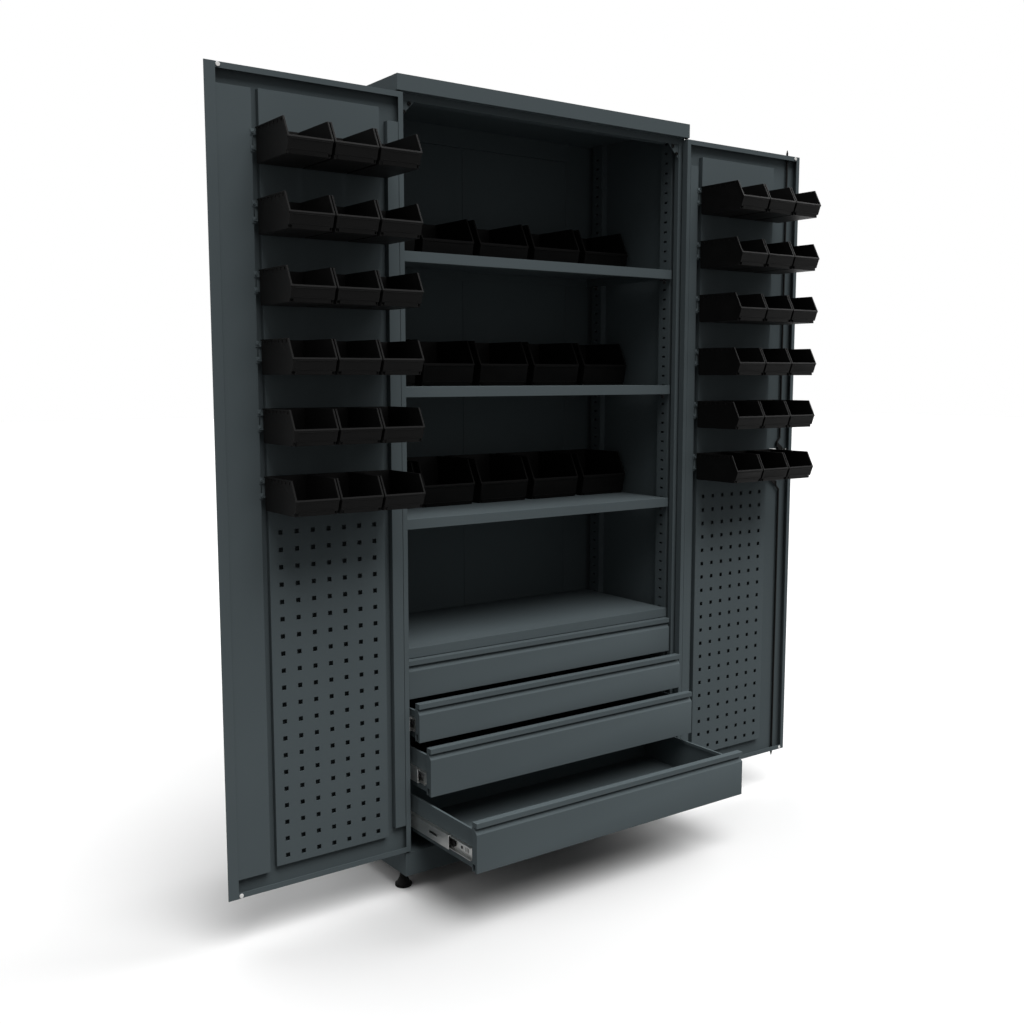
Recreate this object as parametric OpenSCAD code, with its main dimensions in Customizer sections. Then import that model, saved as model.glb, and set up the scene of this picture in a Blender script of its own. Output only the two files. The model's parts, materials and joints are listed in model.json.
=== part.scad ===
// Tall tool cabinet with two hinged doors, four drawers and hanging bins.
// Millimetres. The front faces -Y, the floor is z = 0 and +Z is up.
// Drawn with both doors swung right round and the lower drawers pulled out.

/* [Cabinet body] */
// Width over the side panels
body_w = 893; // [800:1:1100]
// Depth from the front channels to the back
body_d = 413; // [400:1:600]
// Height from the floor to the roof
body_h = 1894.5; // [1850:0.5:2000]
// Thickness of the folded sheets
sheet_t = 1.5; // [1:0.1:2]
// Height of the channel across the top of the front
cap_h = 35; // [25:1:60]
// Height of the channel across the foot of the front
plinth_h = 57.5; // [45:0.5:80]
// Depth of both front channels
channel_d = 20; // [20:1:30]

/* [Door opening] */
// Face width of each side stile
stile_w = 20; // [16:1:30]
// Depth of the fold behind each stile
stile_return = 15; // [8:1:20]
// Height of the rail behind the top channel
top_rail_h = 50; // [45:1:80]
// Depth of the fold under that rail
top_rail_return = 24; // [10:1:26]
// Leg of the corner gussets
gusset_leg = 36; // [20:1:60]

/* [Back] */
// Gap behind the back sheets
back_gap = 8; // [4:1:15]
// Width of the rear corner sheets
back_corner_w = 100; // [60:1:150]
// Sideways offset of the joint between the back sheets
back_joint_x = -13; // [-60:1:60]
// Height of the ledge under the roof at the back
back_ledge_h = 50; // [20:1:80]
// Depth of that ledge
back_ledge_d = 12; // [6:1:20]

/* [Feet] */
// Clear height under the body
foot_h = 46; // [35:1:80]
// Radius of the foot pads
foot_r = 20.5; // [15:0.5:30]
// Height of the foot pads
foot_pad_h = 22; // [15:1:30]
// Foot centre from the outside of the body
foot_side_in = 23; // [22:1:60]
// Foot centre from the front of the body
foot_front_in = 52; // [45:1:90]
// Radius of the levelling studs
foot_stud_r = 6; // [4:0.5:8]

/* [Uprights and shelves] */
// Distance from the front to the front uprights
upright_front_in = 47; // [46:1:70]
// Distance from the back sheets to the rear uprights
upright_back_in = 26; // [20:1:60]
// Face width of a slotted upright
upright_w = 41; // [30:1:60]
// Depth of an upright from the side panel
upright_d = 18; // [14:1:24]
// Wall of an upright
upright_t = 2; // [1.5:0.1:3]
// Distance between slots
slot_pitch = 25.8; // [20:0.1:30]
// Width of a slot
slot_w = 12; // [8:0.5:16]
// Height of a slot
slot_h = 5; // [4:0.5:8]
// Slot pitches between shelves
shelf_steps = 12; // [10:1:13]
// Front edge height of a shelf
shelf_fold_h = 24; // [15:1:35]
// Distance from the front to the shelf edge
shelf_front_in = 39; // [37:1:60]
// Gap between a shelf and the uprights
shelf_side_gap = 0.8; // [0.5:0.1:2]
// Depth of the fold under a shelf's front edge
shelf_return = 14; // [6:1:20]
// Thickness of a shelf clip
clip_t = 3; // [2:0.5:4]
// Length of clip under a shelf
clip_reach = 14; // [8:1:20]

/* [Doors] */
// Thickness of a door
leaf_t = 18; // [16:0.5:24]
// Gap between a door and the outside of the body
leaf_side_gap = 1.5; // [1:0.1:3]
// Half of the gap between the closed doors
leaf_mid_gap = 1.2; // [1:0.1:3]
// Gap above and below the doors
leaf_end_gap = 5; // [4.5:0.1:8]
// Width of the folded lips round the inside
leaf_lip_w = 12; // [8:1:16]
// Pivot axis from the outside of the body
pivot_side_in = 6.4; // [6.2:0.1:8]
// Pivot axis behind the door's outer face
pivot_front_in = 6.5; // [6:0.1:8]
// Radius of the pivot pins
pivot_r = 3; // [2:0.1:3.2]
// Running clearance round the pins
pivot_clear = 0.05; // [0.02:0.01:0.08]
// Wall of the pivot bushes
bush_wall = 1.45; // [1:0.05:1.5]
// Thickness of the bush collars
bush_collar = 2; // [1:0.1:3]
// Length of a pin beyond the door
pivot_out = 13; // [10:1:15]

/* [Perforated panels] */
// Hinge edge of the door to the panel
perf_in = 59; // [50:1:70]
// Free edge of the door to the panel
perf_edge_in = 103.8; // [98:0.1:110]
// Panel face behind the lips
perf_sink = 3; // [2:0.5:6]
// Panel edge below the top of the door
perf_top_in = 39.5; // [30:0.5:60]
// Panel edge above the bottom of the door
perf_bottom_in = 48.5; // [30:0.5:60]
// Pitch of the square holes
perf_pitch = 38; // [30:1:40]
// Side of a square hole
perf_hole = 10; // [8:0.5:14]
// Least rim beside the holes
perf_rim = 15; // [10:1:20]
// Rows of holes
perf_rows = 20; // [5:1:20]
// Lowest holes above the panel's edge
perf_first = 20.4; // [15:0.1:30]

/* [Door stiffeners] */
// Hinge edge of the door to the hinge side stiffener
stiff_in = 13; // [12.5:0.5:14]
// Width of the hinge side stiffener
stiff_w = 27.5; // [20:0.5:30]
// Ends of the hinge side stiffener from the ends of the door
stiff_end_in = 66; // [50:1:90]
// Width of the edge channel of the left door
edge_channel_w = 75; // [50:1:75]
// Ends of the edge channel from the ends of the door
edge_channel_end_in = 41.5; // [30:0.5:60]
// Meeting strip beyond the edge of the left door
strip_over = 12; // [8:1:16]
// Thickness of the meeting strip
strip_t = 1.9; // [1:0.1:2]
// Radius of the door bumpers
bumper_r = 5; // [3:0.5:5.5]
// Bumper standing off the lip
bumper_t = 2; // [1:0.1:2.5]
// Bumper centre from the free edge of the door
bumper_in = 18; // [17.5:0.5:40]

/* [Door bins] */
// Width over the rim
bin_w = 100; // [80:1:101]
// Depth
bin_d = 154; // [120:1:170]
// Height
bin_h = 73; // [60:1:90]
// Height of the front wall
bin_front_h = 31; // [20:1:45]
// Distance between bins along a rail
bin_pitch = 102.5; // [102:0.5:103]
// Distance between rows
bin_row_pitch = 142.7; // [125:0.1:145]
// Top of the first row below the top of the door
bin_top_in = 118.7; // [80:0.1:125]
// Wall of the bins
bin_wall = 2; // [1.5:0.1:3]
// Rim standing out at each side of a bin
bin_rim = 2; // [1:0.1:2.4]
// Height of that rim
bin_rim_h = 3; // [2:0.1:4]
// Distance between the ribs under the rim
bin_rib_pitch = 18; // [10:1:30]
// Height of the ribs that hold a label
bin_rib = 1.2; // [0.8:0.1:1.5]
// Front wall leaning in towards its foot
bin_lean = 11; // [4:0.5:14]
// Slope of the opening, as its run over its height
bin_slope_run = 0.52; // [0.2:0.01:0.8]
// Notch in each lower front corner
bin_notch = 7; // [3:0.5:9]
// Height of the bin rails
rail_h = 37; // [30:1:45]
// Rail standing off the panel
rail_d = 8; // [7:0.5:12]
// Wall of the rails
rail_t = 1.5; // [1:0.1:1.6]
// Top of a rail below the top of its bins
rail_top_in = 8; // [6:0.5:12]
// Rail beyond the perforated panel at each side
rail_over = 14; // [10:0.5:16]

/* [Shelf bins] */
// Width over the rim
shelf_bin_w = 156; // [120:1:160]
// Depth
shelf_bin_d = 182; // [150:1:200]
// Height
shelf_bin_h = 117; // [90:1:130]
// Height of the front wall
shelf_bin_front_h = 54; // [30:1:70]
// Bins on a shelf
shelf_bin_count = 5; // [1:1:5]

/* [Drawers] */
// Front heights, top drawer first
drawer_front_h = [92.5, 92.5, 115, 115];
// How far each drawer stands open, top drawer first
drawer_out = [0, 45, 94, 283.5];
// Gap between drawer fronts
drawer_gap = 2.5; // [2:0.1:4]
// Bottom of the lowest front above the floor
drawer_base_z = 140.5; // [125:0.5:160]
// Face of a closed drawer behind the front of the body
drawer_front_in = 20.5; // [20.2:0.1:21]
// Side of a drawer front from the opening's stile
drawer_front_side = 6.5; // [4:0.5:12]
// Height of the handle lip
grip_h = 12; // [8:0.5:18]
// Depth of the hollow under the handle lip
grip_d = 13; // [8:0.5:15]
// Height of the slope below the hollow
grip_slope = 14; // [8:0.5:20]
// Depth of the whole front
front_d = 18; // [17:0.5:24]
// Height of the notch in each lower corner of a front
front_notch_h = 18; // [10:1:25]
// Depth of that notch
front_notch_d = 11; // [5:0.5:14]
// Depth of a drawer box
box_d = 350; // [300:1:355]
// Drawer side below the top of its front
box_top_in = 22; // [20:1:30]
// Drawer bottom above the bottom of its front
box_bottom_in = 4; // [2:0.5:8]
// Width of the rolled top lip of a drawer side
box_lip_w = 6; // [4:0.5:10]
// Height of that lip's fold
box_lip_h = 8; // [4:0.5:12]

/* [Drawer slides] */
// Wall of the slide members
slide_t = 1.4; // [1:0.1:1.6]
// Play between the members
slide_play = 0.3; // [0.2:0.05:0.4]
// Space between the drawer side and the upright
slide_space = 13.5; // [12:0.1:16]
// Height of the middle member
slide_mid_h = 33; // [26:0.5:36]
// Length of the members
slide_l = 350; // [300:1:350]
// Axis of a slide above the bottom of its front
slide_up = 38; // [30:1:45]
// First slot of a middle member behind its front end
slide_slot_in = 50; // [20:1:90]
// Length of those slots
slide_slot_l = 35; // [10:1:60]
// Height of those slots
slide_slot_h = 6; // [3:0.5:10]
// Distance between them
slide_slot_pitch = 115; // [80:1:150]
// Share of the drawer's travel that the middle member makes
slide_share = 0.7; // [0.5:0.05:0.7]

/* [Lock] */
// Lock axis below the middle of the right door
lock_low = 4.5; // [0:0.5:40]
// Radius of the rods
rod_r = 3; // [2.5:0.5:3]
// Rod axis from the free edge of the door
rod_edge_in = 41; // [36:0.5:50]
// Rod axis in front of the door's skin
rod_skin_gap = 5.8; // [5.8:0.1:6.5]
// Sideways step of the rods towards the lock
rod_jog = 12; // [6:0.5:16]
// Height of each rod's step above or below the lock
rod_jog_up = 64; // [64:1:100]
// Length of that step
rod_jog_l = 12; // [8:1:30]
// Length of the taper at each rod's tip
rod_tip = 9; // [4:1:12]
// Wall of the bushes that the rods leave the door by
rod_bush_wall = 1.5; // [1:0.1:1.6]
// Rod standing out of the door at each end
rod_out = 17; // [15:0.5:20]
// Clearance of a rod in its guides
rod_clear = 0.1; // [0.05:0.05:0.3]
// Radius at which the cam drives the rods
cam_throw = 18; // [14:0.5:19]
// Thickness of the cam and of the rods' flat ends
cam_t = 2.5; // [2:0.1:3]
// Radius of the drive pins
cam_pin_r = 2.5; // [2:0.1:3]
// Radius of the handle's spindle
spindle_r = 5; // [4:0.5:6]
// Length of the outside handle
handle_l = 105; // [80:1:130]

/* [Hidden] */

steel_paint = [0.27, 0.34, 0.37];
zinc = [0.72, 0.72, 0.7];
black_plastic = [0.09, 0.09, 0.1];
pale_plastic = [0.9, 0.9, 0.88];
round_fn = 48;
cut = 1; // how far a cutter runs past the face that it cuts

half_w = body_w / 2;
inner_x = half_w - sheet_t;
opening_x = half_w - stile_w;
roof_z = body_h - sheet_t;
opening_top = body_h - cap_h;
opening_bottom = foot_h + plinth_h;
back_y = body_d - sheet_t - back_gap - sheet_t;
upright_x = inner_x - upright_d;
upright_y = [upright_front_in, back_y - upright_back_in - upright_w];

// Doors, with the leaf measured from its hinge edge, its lips and its bottom edge
pivot_x = half_w - pivot_side_in;
leaf_w = half_w - leaf_side_gap - leaf_mid_gap;
leaf_h = opening_top - opening_bottom - 2 * leaf_end_gap;
leaf_z = opening_bottom + leaf_end_gap;
leaf_x = 2 * pivot_x - (half_w - leaf_side_gap);
leaf_y = 2 * pivot_front_in - leaf_t;
skin_v = leaf_t - sheet_t;
pivot_u = pivot_x - leaf_x;
pivot_v = pivot_front_in - leaf_y;
perf_w = leaf_w - perf_in - perf_edge_in;
perf_h = leaf_h - perf_top_in - perf_bottom_in;
perf_cols = floor((perf_w - perf_hole - 2 * perf_rim) / perf_pitch) + 1;
rail_v = perf_sink - rail_d;
bins_u = perf_in + perf_w / 2 - bin_pitch;
bins_per_row = 3;
rail_nose = 1.5; // bin's back to the upturned edge
rail_lip_h = 5.5; // height of that edge
hang_play = 0.3;
bin_rows = 6;

// Lock
lock_u = leaf_w - rod_edge_in - rod_jog;
lock_up = leaf_h / 2 - lock_low;
rod_u = leaf_w - rod_edge_in;
rod_v = skin_v - rod_skin_gap;
rod_x_closed = leaf_mid_gap + rod_edge_in;
rod_y_closed = 2 * pivot_front_in - (leaf_y + rod_v);
cam_v = rod_v - 1.5 * cam_t - slide_play;
cam_r = cam_throw + cam_pin_r + 2;
slot_play = 1;

// Drawers
stack_count = len(drawer_front_h);
function stack_above(n) = n >= stack_count - 1 ? 0
  : drawer_front_h[n + 1] + drawer_gap + stack_above(n + 1);
function drawer_z(n) = drawer_base_z + stack_above(n);
drawer_half_w = opening_x - drawer_front_side;
box_half_w = upright_x - slide_space;
deck_bottom = drawer_z(0) + drawer_front_h[0] + 1;
slide_y = drawer_front_in + front_d + 4.5;
slide_outer_h = slide_mid_h + 2 * slide_play + 2 * slide_t;
slide_inner_h = slide_mid_h - 2 * slide_play - 2 * slide_t;

// Shelves
shelf_pitch = shelf_steps * slot_pitch;
shelf_d = back_y - 2 - shelf_front_in;
shelf_half_w = upright_x - shelf_side_gap;
clip_z0 = deck_bottom - clip_t;
slot_below = floor((clip_z0 - opening_bottom - 20) / slot_pitch);
slot_above = floor((roof_z - clip_z0 - 40) / slot_pitch);
function shelf_bottom(n) = deck_bottom + n * shelf_pitch;

// The row frame: middle of the footprint as drawn, on the floor
frame_x = -strip_over / 2;
front_y = min(drawer_front_in - max(drawer_out), leaf_y + rail_v - bin_d);
frame_y = (front_y + body_d) / 2;

module placed() {
  translate([-frame_x, -frame_y, 0]) children();
}

module on_side(s) {
  if (s < 0) mirror([1, 0, 0]) children();
  else children();
}

module both_sides() {
  for (s = [-1, 1]) on_side(s) children();
}

module on_door(s) {
  placed() on_side(s) translate([leaf_x, leaf_y, leaf_z]) children();
}

// ---- body ----

module side_panel(s) {
  rear_w = stile_w;
  section = [
    [half_w, channel_d], [half_w, body_d], [half_w - rear_w, body_d], [half_w - rear_w, body_d - sheet_t],
    [inner_x, body_d - sheet_t], [inner_x, channel_d + sheet_t], [opening_x + sheet_t, channel_d + sheet_t],
    [opening_x + sheet_t, channel_d + stile_return], [opening_x, channel_d + stile_return],
    [opening_x, channel_d]
  ];
  color(steel_paint) placed() on_side(s) translate([0, 0, foot_h])
    linear_extrude(roof_z - foot_h) polygon(section);
}

module back_sheets() {
  z0 = opening_bottom;
  sheet_h = roof_z - z0;
  lap = 30;
  edge_x = inner_x - back_corner_w;
  joint_gap = 2;
  color(steel_paint) placed() {
    both_sides() translate([edge_x, back_y - sheet_t, z0]) {
      cube([back_corner_w, sheet_t, sheet_h]);
      translate([back_corner_w - sheet_t, 0, 0]) cube([sheet_t, body_d - back_y, sheet_h]);
    }
    translate([-edge_x - lap, back_y, z0]) cube([edge_x + lap + back_joint_x, sheet_t, sheet_h]);
    translate([back_joint_x + joint_gap, back_y, z0])
      cube([edge_x + lap - back_joint_x - joint_gap, sheet_t, sheet_h]);
    translate([back_joint_x - lap, back_y + sheet_t, z0]) cube([2 * lap, sheet_t, sheet_h]);
    translate([-edge_x, back_y - back_ledge_d, roof_z - back_ledge_h]) difference() {
      cube([2 * edge_x, back_ledge_d, back_ledge_h]);
      translate([-cut, sheet_t, sheet_t])
        cube([2 * edge_x + 2 * cut, back_ledge_d, back_ledge_h - 2 * sheet_t]);
    }
  }
}

module roof_sheet() {
  color(steel_paint) placed() {
    translate([-half_w, channel_d, roof_z]) cube([body_w, body_d - channel_d, sheet_t]);
    translate([-opening_x, body_d - sheet_t, roof_z - stile_w]) cube([2 * opening_x, sheet_t, stile_w]);
  }
}

module front_channel(h, pivot_z) {
  difference() {
    translate([-half_w, 0, 0]) cube([body_w, channel_d, h]);
    translate([-inner_x, sheet_t, sheet_t]) cube([2 * inner_x, channel_d, h - 2 * sheet_t]);
    both_sides() translate([pivot_x, pivot_front_in, pivot_z - cut])
      cylinder(h = sheet_t + 2 * cut, r = pivot_r + pivot_clear + bush_wall, $fn = round_fn);
    translate([rod_x_closed, rod_y_closed, pivot_z - cut])
      cylinder(h = sheet_t + 2 * cut, r = rod_r + 2, $fn = round_fn);
  }
}

module roof_channel() {
  color(steel_paint) placed() translate([0, 0, opening_top]) front_channel(cap_h, 0);
}

module plinth_channel() {
  color(steel_paint) placed() translate([0, 0, foot_h]) front_channel(plinth_h, plinth_h - sheet_t);
}

module top_rail() {
  z0 = roof_z - top_rail_h;
  return_x = opening_x - gusset_leg - 2;
  color(steel_paint) placed() {
    translate([-opening_x, channel_d, z0]) cube([2 * opening_x, sheet_t, top_rail_h]);
    translate([-return_x, channel_d, z0]) cube([2 * return_x, top_rail_return, sheet_t]);
  }
}

module corner_gussets() {
  z0 = roof_z - top_rail_h;
  plate = [[0, -gusset_leg], [0, top_rail_h - 12], [-gusset_leg, top_rail_h - 12], [-gusset_leg, 0]];
  color(steel_paint) placed() both_sides() translate([opening_x, channel_d + 2 * sheet_t, z0])
    rotate([90, 0, 0]) linear_extrude(sheet_t) polygon(plate);
}

module base_floor() {
  depth = body_d - sheet_t - channel_d;
  lip = foot_side_in + foot_r;
  color(steel_paint) placed() translate([0, channel_d, foot_h]) difference() {
    translate([-inner_x, 0, 0]) cube([2 * inner_x, depth, plinth_h]);
    translate([-inner_x + sheet_t, sheet_t, sheet_t])
      cube([2 * inner_x - 2 * sheet_t, depth - 2 * sheet_t, plinth_h - 2 * sheet_t]);
    translate([-inner_x + lip, lip, -cut])
      cube([2 * (inner_x - lip), depth - 2 * lip, 2 * cut + sheet_t]);
    at_feet() translate([0, -channel_d, -cut])
      cylinder(h = sheet_t + 2 * cut, r = foot_stud_r + 0.25, $fn = round_fn);
    // the fold of each stile passes the front corners
    both_sides() translate([opening_x, -cut, -cut])
      cube([stile_w, stile_return + cut, plinth_h + 2 * cut]);
  }
}

module at_feet() {
  both_sides() for (y = [foot_front_in, body_d - foot_front_in])
    translate([half_w - foot_side_in, y, 0]) children();
}

module foot_pads() {
  disc_h = 7;
  neck_r = 10;
  color(black_plastic) placed() at_feet() difference() {
    rotate_extrude($fn = round_fn)
      polygon([[0, 0], [foot_r - 1, 0], [foot_r, 1], [foot_r, disc_h], [foot_r - 3, disc_h + 1],
        [neck_r, foot_pad_h], [0, foot_pad_h]]);
    translate([0, 0, foot_pad_h - 10]) cylinder(h = 10 + cut, r = foot_stud_r, $fn = round_fn);
  }
}

module foot_studs() {
  nut_h = 9;
  nut_r = foot_stud_r * 1.8;
  color(zinc) placed() at_feet() {
    translate([0, 0, foot_pad_h - 10])
      cylinder(h = foot_h + 20 - foot_pad_h, r = foot_stud_r, $fn = round_fn);
    translate([0, 0, foot_h - nut_h]) cylinder(h = nut_h, r = nut_r, $fn = 6);
  }
}

module hinge_bushes() {
  bore_r = pivot_r + pivot_clear;
  body_r = bore_r + bush_wall;
  color(pale_plastic) placed() both_sides() translate([pivot_x, pivot_front_in, 0]) {
    translate([0, 0, opening_top]) bush(bore_r, body_r);
    translate([0, 0, opening_bottom]) mirror([0, 0, 1]) bush(bore_r, body_r);
  }
}

module bush(bore_r, body_r) {
  difference() {
    union() {
      cylinder(h = sheet_t + 3, r = body_r, $fn = round_fn);
      translate([0, 0, -bush_collar]) cylinder(h = bush_collar, r = body_r + 1, $fn = round_fn);
    }
    translate([0, 0, -bush_collar - cut])
      cylinder(h = sheet_t + 3 + bush_collar + 2 * cut, r = bore_r, $fn = round_fn);
  }
}

// ---- uprights and shelves ----

module slotted_uprights() {
  upright_h = roof_z - opening_bottom;
  color(steel_paint) placed() both_sides() for (y = upright_y) translate([upright_x, y, opening_bottom])
    difference() {
      cube([upright_d, upright_w, upright_h]);
      translate([upright_t, upright_t, -cut])
        cube([upright_d, upright_w - 2 * upright_t, upright_h + 2 * cut]);
      for (k = [-slot_below:slot_above])
        translate([-cut, upright_w / 2 - slot_w / 2, slot_z(k) - opening_bottom])
          cube([upright_t + 2 * cut, slot_w, slot_h]);
    }
}

function slot_z(k) = clip_z0 + clip_t / 2 - slot_h / 2 + k * slot_pitch;

module shelf(n) {
  color(steel_paint) placed() translate([-shelf_half_w, shelf_front_in, shelf_bottom(n)]) {
    difference() {
      cube([2 * shelf_half_w, shelf_d, shelf_fold_h]);
      translate([sheet_t, sheet_t, -cut])
        cube([2 * (shelf_half_w - sheet_t), shelf_d - 2 * sheet_t, shelf_fold_h - sheet_t + cut]);
    }
    translate([sheet_t, sheet_t, 0]) cube([2 * (shelf_half_w - sheet_t), shelf_return, sheet_t]);
  }
}

module shelf_clips() {
  color(zinc) placed() for (n = [0:3]) both_sides() for (y = upright_y)
    translate([upright_x, y + upright_w / 2, shelf_bottom(n) - clip_t]) shelf_clip();
}

module shelf_clip() {
  w = slot_w - 2;
  translate([-clip_reach, -w / 2, 0]) cube([clip_reach + upright_t + 2, w, clip_t]);
  translate([upright_t + 0.2, -w / 2, -4]) cube([1.8, w, clip_t + 4]);
  translate([-1.8, -w / 2, -8]) cube([1.8, w, 8]);
}

// ---- bins ----

// An open-fronted bin: w over the rim, its back at y = 0 and its front towards -y
module bin(w, d, h, front_h) {
  run = bin_slope_run * (h - front_h);
  body = w - 2 * bin_rim;
  round_r = 2.5 * bin_wall;
  outer = concat([for (a = [180:30:270]) round_r * [1 + cos(a), 1 + sin(a)]],
    [[d - bin_lean, 0], [d, front_h], [d - run, h], [0, h]]);
  inner = [[bin_wall, bin_wall], [d - bin_lean - bin_wall, bin_wall], [d - bin_wall, front_h],
    [d - bin_wall, 2 * h], [bin_wall, 2 * h]];
  rim = [[0, h - bin_rim_h], [d - run - bin_rim_h, h - bin_rim_h], [d - bin_rim_h, front_h - bin_rim_h],
    [d, front_h], [d - run, h], [0, h]];
  ribs = floor((d - run) / bin_rib_pitch);
  difference() {
    extruded_across(body) polygon(outer);
    extruded_across(body - 2 * bin_wall) polygon(inner);
    both_sides() translate([body / 2 - bin_notch, -d - cut, -cut])
      cube([bin_notch + cut, bin_lean + bin_wall + cut, bin_notch + cut]);
  }
  // each rim and rib starts inside its wall
  both_sides() translate([body / 2 - bin_wall / 2, 0, 0]) {
    rim_w = bin_rim + bin_wall / 2;
    translate([rim_w / 2, 0, 0]) extruded_across(rim_w) polygon(rim);
    for (k = [1:ribs]) translate([0, run - d + (k - 0.5) * bin_rib_pitch, h - 3 * bin_rim_h])
      cube([rim_w, bin_wall, 3 * bin_rim_h - 0.5]);
  }
  for (z = [bin_notch + bin_rim, front_h - 2 * bin_rim])
    extruded_across(body - 2 * bin_notch) polygon(label_rib(z, d, front_h));
}

// The outline of a rib across the leaning front wall, its lower edge at z
function label_rib(z, d, front_h) = let (at = function(up) d - bin_lean * (1 - up / front_h))
  [[at(z) - 0.5, z], [at(z) + bin_rib, z], [at(z + bin_rib) + bin_rib, z + bin_rib],
    [at(z + bin_rib) - 0.5, z + bin_rib]];

// An outline drawn as (distance forward, height), stretched sideways over w
module extruded_across(w) {
  translate([w / 2, 0, 0]) rotate([90, 0, -90]) linear_extrude(w) children();
}

// The hook on the back of a bin, over the upturned edge of its rail
module bin_hook(w) {
  leg_t = 1.6;
  leg_y = rail_nose + rail_t + hang_play;
  z = bin_h - rail_top_in + hang_play;
  translate([-w / 2, -bin_wall / 2, z]) cube([w, bin_wall / 2 + leg_y + leg_t, 2]);
  translate([-w / 2, leg_y, z - rail_lip_h + 0.8]) cube([w, leg_t, rail_lip_h - 0.8]);
}

module shelf_bins() {
  pitch = (2 * shelf_half_w - shelf_bin_w) / (shelf_bin_count - 1);
  y = shelf_front_in + shelf_d;
  color(black_plastic) placed() for (n = [1:3]) for (k = [0:shelf_bin_count - 1])
    translate([-shelf_half_w + shelf_bin_w / 2 + k * pitch, y, shelf_bottom(n) + shelf_fold_h])
      bin(shelf_bin_w, shelf_bin_d, shelf_bin_h, shelf_bin_front_h);
}

function bin_row_z(r) = leaf_h - bin_top_in - r * bin_row_pitch - bin_h;

module door_bins(s, rows) {
  color(black_plastic) on_door(s) for (r = rows) for (k = [0:bins_per_row - 1])
    translate([bins_u + k * bin_pitch, rail_v, bin_row_z(r)]) {
      bin(bin_w, bin_d, bin_h, bin_front_h);
      bin_hook(0.6 * bin_w);
    }
}

module bin_rails(s) {
  rail_l = perf_w + 2 * rail_over;
  nose = rail_d - rail_nose;
  ledge_z = rail_h - rail_lip_h;
  profile = [[0, 0], [rail_d, 0], [rail_d, rail_t], [rail_t, rail_t], [rail_t, ledge_z - rail_t],
    [nose, ledge_z - rail_t], [nose, rail_h], [nose - rail_t, rail_h], [nose - rail_t, ledge_z],
    [0, ledge_z]];
  color(steel_paint) on_door(s) for (r = [0:bin_rows - 1])
    translate([perf_in + perf_w / 2, perf_sink, bin_row_z(r) + bin_h - rail_top_in - rail_h])
      extruded_across(rail_l) polygon(profile);
}

// ---- doors ----

module leaf(s) {
  color(steel_paint) on_door(s) difference() {
    cube([leaf_w, leaf_t, leaf_h]);
    translate([sheet_t, sheet_t, sheet_t])
      cube([leaf_w - 2 * sheet_t, leaf_t - 2 * sheet_t, leaf_h - 2 * sheet_t]);
    translate([leaf_lip_w, -cut, leaf_lip_w])
      cube([leaf_w - 2 * leaf_lip_w, 2 * cut + sheet_t, leaf_h - 2 * leaf_lip_w]);
    translate([pivot_u, pivot_v, -cut]) cylinder(h = leaf_h + 2 * cut, r = pivot_r, $fn = round_fn);
    if (s > 0) {
      translate([rod_u, rod_v, -cut])
        cylinder(h = leaf_h + 2 * cut, r = rod_r + rod_bush_wall + pivot_clear, $fn = round_fn);
      translate([lock_u, skin_v - cut, lock_up]) rotate([-90, 0, 0])
        cylinder(h = sheet_t + 2 * cut, r = spindle_r + 0.5, $fn = round_fn);
    }
  }
}

module perforated_panel(s) {
  u0 = perf_w / 2 - (perf_cols - 1) / 2 * perf_pitch;
  color(steel_paint) on_door(s) translate([perf_in, perf_sink, perf_bottom_in]) difference() {
    cube([perf_w, skin_v - perf_sink, perf_h]);
    translate([sheet_t, sheet_t, sheet_t]) cube([perf_w - 2 * sheet_t, skin_v, perf_h - 2 * sheet_t]);
    for (i = [0:perf_cols - 1]) for (j = [0:perf_rows - 1])
      translate([u0 + i * perf_pitch - perf_hole / 2, -cut, perf_first + j * perf_pitch - perf_hole / 2])
        cube([perf_hole, sheet_t + 2 * cut, perf_hole]);
  }
}

module hat_channel(w, l) {
  difference() {
    cube([w, skin_v, l]);
    translate([sheet_t, sheet_t, -cut]) cube([w - 2 * sheet_t, skin_v, l + 2 * cut]);
  }
}

module hinge_stiffener(s) {
  color(steel_paint) on_door(s) translate([stiff_in, 0, stiff_end_in])
    hat_channel(stiff_w, leaf_h - 2 * stiff_end_in);
}

module edge_channel() {
  color(steel_paint) on_door(-1) translate([leaf_w - leaf_lip_w - edge_channel_w, 0, edge_channel_end_in])
    hat_channel(edge_channel_w, leaf_h - 2 * edge_channel_end_in);
}

module meeting_strip() {
  color(steel_paint) on_door(-1) translate([leaf_w - leaf_lip_w, -strip_t, 0])
    cube([leaf_lip_w + strip_over, strip_t, leaf_h]);
}

module pivot_pins(s) {
  plate_t = 3;
  plate_w = 34;
  color(zinc) on_door(s) {
    translate([0, 0, sheet_t]) pivot_pin(plate_t, plate_w);
    translate([0, 0, leaf_h - sheet_t]) mirror([0, 0, 1]) pivot_pin(plate_t, plate_w);
  }
}

module pivot_pin(plate_t, plate_w) {
  translate([sheet_t, sheet_t, 0]) cube([plate_w, leaf_t - 2 * sheet_t, plate_t]);
  translate([pivot_u, pivot_v, -sheet_t - pivot_out])
    cylinder(h = pivot_out + sheet_t + plate_t, r = pivot_r, $fn = round_fn);
}

module bumpers(s) {
  color(pale_plastic) on_door(s) for (w = [5.5, leaf_h - 5.5])
    translate([leaf_w - bumper_in, 0, w]) rotate([90, 0, 0])
      cylinder(h = bumper_t, r1 = bumper_r, r2 = bumper_r - 0.6, $fn = round_fn);
}

// ---- lock ----

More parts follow.
